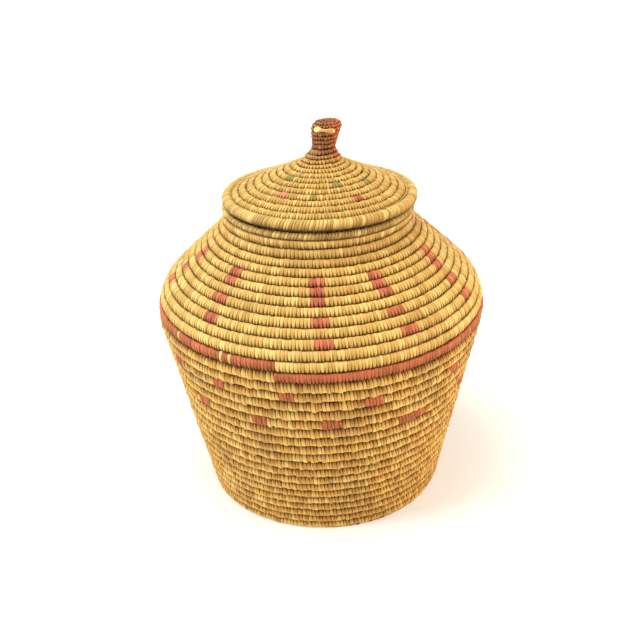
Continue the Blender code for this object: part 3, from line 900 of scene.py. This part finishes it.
def glossy_straw():
    """A glossy strand of pale gold straw, with fine lengthwise fibres and a deeper gold middle."""
    material, tree, shader = new_surface("glossy_gold_straw")
    parts = parts_of(tree, add_node(tree, "UVMap", uv_map="Weave").outputs[0])
    swapped = add_node(tree, "CombineXYZ", X=parts["Y"], Y=parts["X"]).outputs[0]
    strands = use_group(
        tree, STRANDS, Weave=swapped, Tone=0.3, Fibres=9.0, Tone_Share=0.2,
        Pale=GOLD, Middle=GOLD, Dark=DEEP_GOLD,
    )
    deepening = ranged(tree, parts["X"], *TIE_DEEPENS, smooth=True)
    paling = ranged(tree, parts["X"], *TIE_PALES, smooth=True)
    middle = maths(tree, "SUBTRACT", deepening, paling, clamp=True)
    set_up(
        tree, shader, Base_Color=mixed(tree, middle, strands["Colour"], DEEP_GOLD), Roughness=0.30,
        Coat_Weight=0.25, Normal=relief(tree, strands["Streak"], strength=0.35),
    )
    return "gold_straw", material


# Finishes of the basket, each as its slot and its material. The grass ones paint shade into their grooves
# and seams and on the notch side of each row, and a highlight on the other side
LOOKS = Record(
    straw=grass("coiled_straw", "coiled_straw", PALE_STRAW, STRAW, OLD_STRAW, SEAM_SHADE_BROWN, stitch_edge=0.90),
    # A darker copy of the straw for the neck: painted shade under the lid, darkest on the lower part of
    # each row
    neck=grass(
        "coiled_straw", "shaded_neck_straw", PALE_STRAW, RIM_TAN, OLD_STRAW, GROOVE_SHADE_BROWN,
        stitch_edge=0.85, shade=0.45,
    ),
    # Painted shadow on the top of each row, under the row above, and a painted highlight on its bottom
    worn=grass(
        "worn_straw", "worn_golden_straw", PALE_GOLD, GOLDEN_STRAW, WORN_STRAW, GROOVE_SHADE_BROWN,
        row_edge=0.95, patch=WORN_STRAW, patch_amount=0.40, roughness=0.46, notch=0.0, shade=0.84,
        line=0.86, crest=0.5,
    ),
    # Painted shadow on the lower half of each rim coil, and a painted highlight on its top
    rim=grass(
        "coiled_straw", "fine_rim_straw", PALE_GOLD, RIM_TAN, WORN_STRAW, RIM_SHADE, row_edge=0.0,
        stitch_edge=0.70, tone_share=0.70, fibres=3.0, patch=RIM_BROWN, patch_amount=0.75,
        patch_size=0.011, shade=2.4, line=0.66, crest=0.45,
    ),
    pink=grass(
        "pink_grass", "pink_dyed_grass", PALE_PINK, PINK, BRICK, BRICK_SHADE, patch=BRICK,
        patch_amount=0.5, patch_size=0.012,
    ),
    brick=grass(
        "pink_grass", "faded_brick_grass", PINK, FADED_BRICK, BRICK, BRICK_SHADE, patch=PINK,
        patch_amount=0.5, patch_size=0.022, crest=0.1,
    ),
    green=grass("coiled_straw", "green_dyed_grass", PALE_GREEN, GREEN, GREEN, GREEN_SHADE, patch=GREEN),
    pale_green=grass(
        "coiled_straw", "faded_green_grass", STRAW, PALE_GREEN, GREEN, GROOVE_SHADE_BROWN, patch=PALE_GREEN,
    ),
    faint_pink=grass(
        "pink_grass", "faded_pink_grass", STRAW, PALE_PINK, PINK, GROOVE_SHADE_BROWN, patch=PALE_PINK,
    ),
    knob=grass(
        "brown_grass", "brown_red_knob_grass", KNOB_TAN, KNOB_BROWN, BRICK, KNOB_SHADE, fibres=3.0,
        patch=KNOB_BROWN, patch_size=0.008, roughness=0.46, stain=knob_stain,
    ),
    crown=grass(
        "brown_grass", "fading_crown_grass", KNOB_TAN, KNOB_TAN, KNOB_BROWN, KNOB_SHADE, fibres=3.0,
        patch=OLD_STRAW, patch_size=0.010, stain=crown_fade,
    ),
    gold=glossy_straw(),
)


def in_turns(stitches, first, end):
    """Which stitches lie on the coil between two turns."""
    return (stitches.centre > first) & (stitches.centre <= end)


def near_angle(stitches, degrees, half_width):
    """Which stitches lie within a half width of an angle."""
    angle = np.degrees(JOG_ANGLE - TURN * stitches.centre)
    off = np.radians((angle - degrees + 180.0) % 360.0 - 180.0)
    return np.abs(off) * stitches.coil.radius_at(stitches.centre) < half_width


def row_pieces(stitches, free, *pieces):
    """Makes pieces from the free stitches between two turns, each replacing one solid."""
    for name, first, end, look, solid in pieces:
        coil_piece(name, stitches, free & in_turns(stitches, first, end), look, solid)


def even_rows(name, weave, body, corners, rows, thickness):
    """Stitches of a straight wall between two corners, in rows of one height."""
    line = line_through(corners)
    coil = wall_coil(body, line, np.linspace(0.0, line.length, rows + 1), ((0,), (thickness,)))
    return lay_stitches(SEEDS[name], coil, weave, LOOSE_START, rows - LOOSE_END)


def in_blocks(stitches, places, half_width):
    """Which stitches lie in short blocks of one row, each placed by (row, angle)."""
    found = np.zeros(stitches.count, bool)
    for row, angle in places:
        level = np.abs(stitches.centre + 0.5 - row) < 0.5
        found |= level & near_angle(stitches, angle, half_width)
    return found


def build_wall():
    """Neck, shoulder with its dyed blocks, pink band, lower wall with its blocks, and foot."""
    corners = [
        (RIM_RADIUS, WALL_TOP + RIM_OVERLAP), (NECK_RADIUS, SHOULDER_HEIGHT),
        (BELLY_CORNER_RADIUS, BELLY_CORNER_HEIGHT), (FOOT_RADIUS, 0.0),
    ]
    line = line_through(corners, [NECK_BEND, BELLY_BEND])
    heights = [(0, ROW_AT_RIM), (TALLEST_ROW, ROW_AT_BELLY), (WALL_ROWS, ROW_AT_FOOT)]
    edges = row_edges(line.length, WALL_ROWS, heights)
    coil = wall_coil("jar", line, edges, ((0,), (WALL,)))
    upper = lay_stitches(SEEDS["shoulder"], coil, SHOULDER_WEAVE, LOOSE_START, BAND_END)
    lower = lay_stitches(SEEDS["lower_wall"], coil, LOWER_WEAVE, BAND_END, WALL_ROWS - LOOSE_END)
    row_pieces(
        upper, ~build_columns(upper),
        ("neck_rows", -1, NECK_END, LOOKS.neck, "neck"),
        ("shoulder_upper_rows", NECK_END, SHOULDER_MIDDLE, LOOKS.straw, "shoulder"),
        ("shoulder_lower_rows", SHOULDER_MIDDLE, SHOULDER_END, LOOKS.straw, "shoulder"),
    )
    build_band(upper)
    build_lower_wall(lower)
    build_fibres(line, edges)


def build_columns(stitches):
    """The pink stack and two single blocks of each column. Returns which stitches they took."""
    taken = np.zeros(stitches.count, bool)
    row = np.ceil(stitches.centre)
    for number, (angle, lean, first) in enumerate(COLUMNS, start=1):
        place = angle + lean * (row - COLUMN_TOP_ROW)
        for kind, rows, half_width in COLUMN_KINDS:
            block = near_angle(stitches, place, half_width) & np.isin(row, rows) & (row >= first)
            taken |= block
            coil_piece(f"{kind}_stitches_{number:02d}", stitches, block, LOOKS.pink, f"{kind}_{number:02d}")
    return taken


def build_band(stitches):
    """One turn of pink stitches, with a few straw ones among them."""
    band = in_turns(stitches, SHOULDER_END, BAND_END)
    places = [(BAND_END, angle) for angle in BAND_STRAW_ANGLES]
    plain = in_blocks(stitches, places, SHOULDER_WEAVE.stitch / 2.0)
    coil_piece("belly_band_stitches", stitches, band & ~plain, LOOKS.brick, "belly_band")
    coil_piece("straw_stitches_in_band", stitches, plain, LOOKS.straw)


def build_lower_wall(stitches):
    """Stretches of the lower wall, its two rings of pink blocks, and the foot."""
    places = [
        (top_row - (angle - LOWER_JOG) % 360.0 / 360.0, angle)
        for top_row, angles in LOWER_RINGS for angle in angles
    ]
    pink = in_blocks(stitches, places, LOWER_HALF_WIDTH)
    for number, (first, end) in enumerate(zip(LOWER_ENDS, LOWER_ENDS[1:]), start=1):
        row_pieces(stitches, ~pink, (f"lower_wall_rows_{number}", first, end, LOOKS.worn, "lower_wall"))
    coil_piece("lower_wall_pink_blocks", stitches, pink, LOOKS.brick)
    row_pieces(stitches, ~pink, ("foot_rows", LOWER_ENDS[-1], WALL_ROWS, LOOKS.worn, "foot_coil"))


def build_fibres(line, edges):
    """Loose ends of grass that stand off the lower wall.

    At a share t of its length a fibre lies FIBRE_LIFT * t * (2 - t) off the skin, and it is as thick as
    FIBRE_THICKNESS * (1 - t ** 4) ** 0.5. Its rings are circles across its own direction.
    """
    rng = np.random.default_rng(SEEDS["fibres"])

    def drawn(low, high):
        """A random number for each fibre."""
        return rng.uniform(low, high, FIBRES)[:, None]

    share = np.linspace(0.0, FIBRE_TIP, FIBRE_STEPS)[None, :]
    start = drawn(edges[BAND_END + 1], edges[WALL_ROWS - 2])
    angle = drawn(-math.pi, math.pi)
    heading = drawn(-math.pi, math.pi)
    run = FIBRE_LENGTH * drawn(*FIBRE_LENGTH_SHARES) * share
    turned = heading + drawn(-FIBRE_BEND, FIBRE_BEND) * share
    depth = -FIBRE_LIFT * share * (2.0 - share) * drawn(*FIBRE_LIFT_SHARES)
    radius, height = on_line(line, start + run * np.sin(turned), depth)
    around = angle + run * np.cos(turned) / radius
    middle = on_jar(radius, around, height)
    along = unit(np.gradient(middle, axis=1))
    out = np.stack([np.sin(around), -np.cos(around), np.zeros_like(around)], axis=2)
    side = unit(np.cross(along, out))[:, :, None]
    above = np.cross(side, along[:, :, None])
    spin = (TURN * np.arange(FIBRE_SIDES) / FIBRE_SIDES)[:, None]
    thick = (FIBRE_THICKNESS * np.sqrt(1.0 - share ** 4))[:, :, None, None]
    rings = middle[:, :, None] + thick * (np.cos(spin) * above + np.sin(spin) * side)
    tubes("stray_fibres", rings, "jar", LOOKS.gold)


def build_base():
    """Flat spiral of the floor, from the foot in to the middle."""
    edge = FOOT_RADIUS - WALL - GAP
    rows = round(edge / BASE_ROW)
    start = rows - round(BASE_START_RADIUS / BASE_ROW) - 0.5
    row_pieces(
        even_rows("base", LOWER_WEAVE, "jar", [(edge, 0.0), (0.0, 0.0)], rows, BASE_THICKNESS), True,
        ("base_rows", -1, start, LOOKS.worn, "base_disc"),
        ("base_start_rows", start, rows, LOOKS.worn, "base_start_coil"),
    )


def build_rims():
    """The jar's finishing coil and the lid's thick outer coil, both finely stitched."""
    for name, centre, thickness, body, solid in (
        ("rim_coil_stitches", RIM_CENTRE, RIM_COIL_RADIUS, "jar", "rim_coil"),
        ("lid_rim_stitches", LID_CENTRE, LID_COIL_RADIUS, "lid", "lid_rim_coil"),
    ):
        stitches = lay_stitches(SEEDS[solid], round_coil(body, centre, thickness), RIM_WEAVE, 0.0, 1.0)
        coil_piece(name, stitches, in_turns(stitches, 0, 1), LOOKS.rim, solid, closed=True)


def build_lid():
    """Knob, crown and dome in one coil from the knob's top outwards, with the lid's dyed blocks."""
    corners = [(0.0, CAP_TOP), (KNOB_RADIUS, CAP_TOP - CAP_CROWN), STEM_FOOT, CROWN_CORNER, DOME_EDGE]
    line = line_through(corners, [CAP_EDGE_BEND, STEM_BEND, LID_CROWN_BEND])
    foot = line.along[np.argmin(np.hypot(line.radius - STEM_FOOT[0], line.height - STEM_FOOT[1]))]
    knob_rows = round(foot / KNOB_ROW)
    heights = [(0, LID_ROW_AT_STEM), (LID_ROWS, LID_ROW_AT_EDGE)]
    lid_edges = foot + row_edges(line.length - foot, LID_ROWS, heights)
    edges = np.concatenate([
        np.linspace(0.0, foot, knob_rows + 1),
        np.linspace(foot, lid_edges[CROWN_ROWS], CROWN_TURNS + 1)[1:],
        lid_edges[CROWN_ROWS + 1:],
    ])
    crown_end = knob_rows + CROWN_TURNS
    rows = len(edges) - 1
    coil = wall_coil("lid", line, edges, ((0, knob_rows, crown_end), (KNOB_WALL, KNOB_WALL, LID_WALL)))
    knob = lay_stitches(SEEDS["knob"], coil, KNOB_WEAVE, LOOSE_START, crown_end)
    dome = lay_stitches(SEEDS["dome"], coil, LID_WEAVE, crown_end, rows - LOOSE_END)
    cap_end = round(KNOB_RADIUS / KNOB_ROW) + 2
    row_pieces(
        knob, True,
        ("knob_cap_rows", -1, cap_end, LOOKS.knob, "knob_cap"),
        ("knob_stem_rows", cap_end, knob_rows, LOOKS.knob, "knob_stem"),
        ("lid_crown_rows", knob_rows, crown_end, LOOKS.crown, "lid_crown"),
    )
    build_dome(dome, rows)


def build_dome(stitches, rows):
    """The dome's straw rows and the small green and pink blocks among them."""
    taken = np.zeros(stitches.count, bool)
    for dye, places in LID_BLOCKS.items():
        blocks = in_blocks(stitches, [(rows - up, angle) for up, angle in places], LID_HALF_WIDTH)
        taken |= blocks
        coil_piece(f"lid_{dye}_blocks", stitches, blocks, getattr(LOOKS, dye))
    coil_piece("lid_dome_rows", stitches, ~taken, LOOKS.straw, "lid_dome")


def build_flange():
    """Rows under the dome that drop inside the neck."""
    top = LID_CENTRE[1] + FLANGE_TOP
    swing = (FLANGE_DEPTH - FLANGE_TOP) * math.sin(LID_TILT)
    outer = NECK_RADIUS - WALL - FLANGE_PLAY - LID_FORWARD - LID_ASIDE - swing
    corners = [(outer, top), (outer, top - FLANGE_DEPTH)]
    stitches = even_rows("flange", LID_WEAVE, "lid", corners, FLANGE_ROWS, FLANGE_WALL)
    row_pieces(stitches, True, ("lid_flange_rows", -1, FLANGE_ROWS, LOOKS.straw, "lid_flange"))


def build_tie():
    """A flat strand round the front of the cap, thicker in two lobes and rounded at both ends.

    At a share t of its length its half height is its base and two bell curves, times
    (1 - |2t - 1| ** 8) ** 0.5. Its section is an ellipse leaning outwards.
    """
    share = np.linspace(TIE_TIP, 1.0 - TIE_TIP, TIE_STEPS)[:, None]
    spin = (TURN * np.arange(TIE_SIDES) / TIE_SIDES)[None, :]
    taper = np.sqrt(1.0 - np.abs(2.0 * share - 1.0) ** 8)
    lobes = sum(rise * np.exp(-((share - middle) / TIE_LOBE_WIDTH) ** 2) for middle, rise in TIE_LOBES)
    up = (TIE_HALF_HEIGHT + lobes) * taper * np.cos(spin)
    out = (TIE_HALF_THICKNESS + TIE_LOBE_BULGE * lobes) * taper * np.sin(spin)
    angle = TIE_FROM + (TIE_TO - TIE_FROM) * share
    radius = KNOB_RADIUS - TIE_SINK + out * math.cos(TIE_TILT) - up * math.sin(TIE_TILT)
    height = CAP_TOP - TIE_DROP - TIE_SLOPE * share + up * math.cos(TIE_TILT) + out * math.sin(TIE_TILT)
    tubes("knob_tie_strand", on_seat(radius, angle, height)[None], "lid", LOOKS.gold, "knob_tie")


def make_camera():
    """Camera at the photograph's place: above the front, aimed at the middle, with its slight roll."""
    data = bpy.data.cameras.new("photo_view")
    data.lens = CAMERA_LENS
    data.sensor_width = CAMERA_SENSOR
    camera = put_in_scene("photo_view", data)
    aim = Matrix.Translation((CAMERA_SHIFT, 0.0, CAMERA_AIM_HEIGHT))
    tilt = Matrix.Rotation(math.radians(90.0) - CAMERA_RISE, 4, "X")
    away = Matrix.Translation((0.0, 0.0, CAMERA_DISTANCE))
    camera.matrix_world = aim @ tilt @ away @ Matrix.Rotation(CAMERA_ROLL, 4, "Z")
    bpy.context.scene.camera = camera


def soft_light(name, place, power, colour):
    """A large square lamp aimed at the jar's middle."""
    data = bpy.data.lights.new(name, "AREA")
    data.shape = "SQUARE"
    data.size = LAMP_SIZE
    data.energy = power
    data.color = colour
    lamp = put_in_scene(name, data)
    lamp.location = place
    aim = Vector((0.0, 0.0, BODY_HEIGHT / 2.0)) - lamp.location
    lamp.rotation_mode = "QUATERNION"
    lamp.rotation_quaternion = aim.to_track_quat("-Z", "Y")


def make_studio():
    """Soft lamps, and a world that is white to the camera and plain light to the jar."""
    for lamp in LAMPS:
        soft_light(*lamp)
    world = bpy.data.worlds.new("white_studio")
    bpy.context.scene.world = world
    world.use_nodes = True
    tree = world.node_tree
    ray = add_node(tree, "LightPath").outputs
    seen = maths(tree, "MAXIMUM", ray["Is Camera Ray"], ray["Is Glossy Ray"])
    seen = maths(tree, "MAXIMUM", seen, ray["Is Transmission Ray"])
    set_up(tree, tree.nodes["Background"], Color=WHITE, Strength=ranged(tree, seen, low=WORLD_LIGHT))


def make_floor():
    """A pale sheet that keeps the jar's shadow. Only the camera sees its glow, stronger far off."""
    half = FLOOR_SIZE / 2.0
    corners = [(-half, -half, 0), (half, -half, 0), (half, half, 0), (-half, half, 0)]
    mesh = bpy.data.meshes.new("floor")
    mesh.from_pydata(corners, [], [(0, 1, 2, 3)])
    floor = put_in_scene("floor", mesh)
    material, tree, shader = new_surface("pale_floor")
    place = add_node(tree, "TexCoord").outputs["Object"]
    off = add_node(tree, "VectorMath", operation="LENGTH", Vector=place).outputs["Value"]
    glow = ranged(tree, off, *FLOOR_RANGE, *FLOOR_GLOW)
    ray = add_node(tree, "LightPath").outputs["Is Camera Ray"]
    set_up(
        tree, shader, Base_Color=FLOOR_COLOUR, Roughness=0.85, Specular_IOR_Level=0.1,
        Emission_Color=WHITE, Emission_Strength=maths(tree, "MULTIPLY", ray, glow),
    )
    mesh.materials.append(material)


def main():
    """Dresses the jar and lights it."""
    bpy.context.scene.view_settings.view_transform = "Standard"
    make_camera()
    build_wall()
    build_base()
    build_rims()
    build_lid()
    build_flange()
    build_tie()
    core_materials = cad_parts["knob_core"].data.materials
    core_materials.clear()
    core_materials.append(LOOKS.worn[1])
    make_studio()
    make_floor()


main()
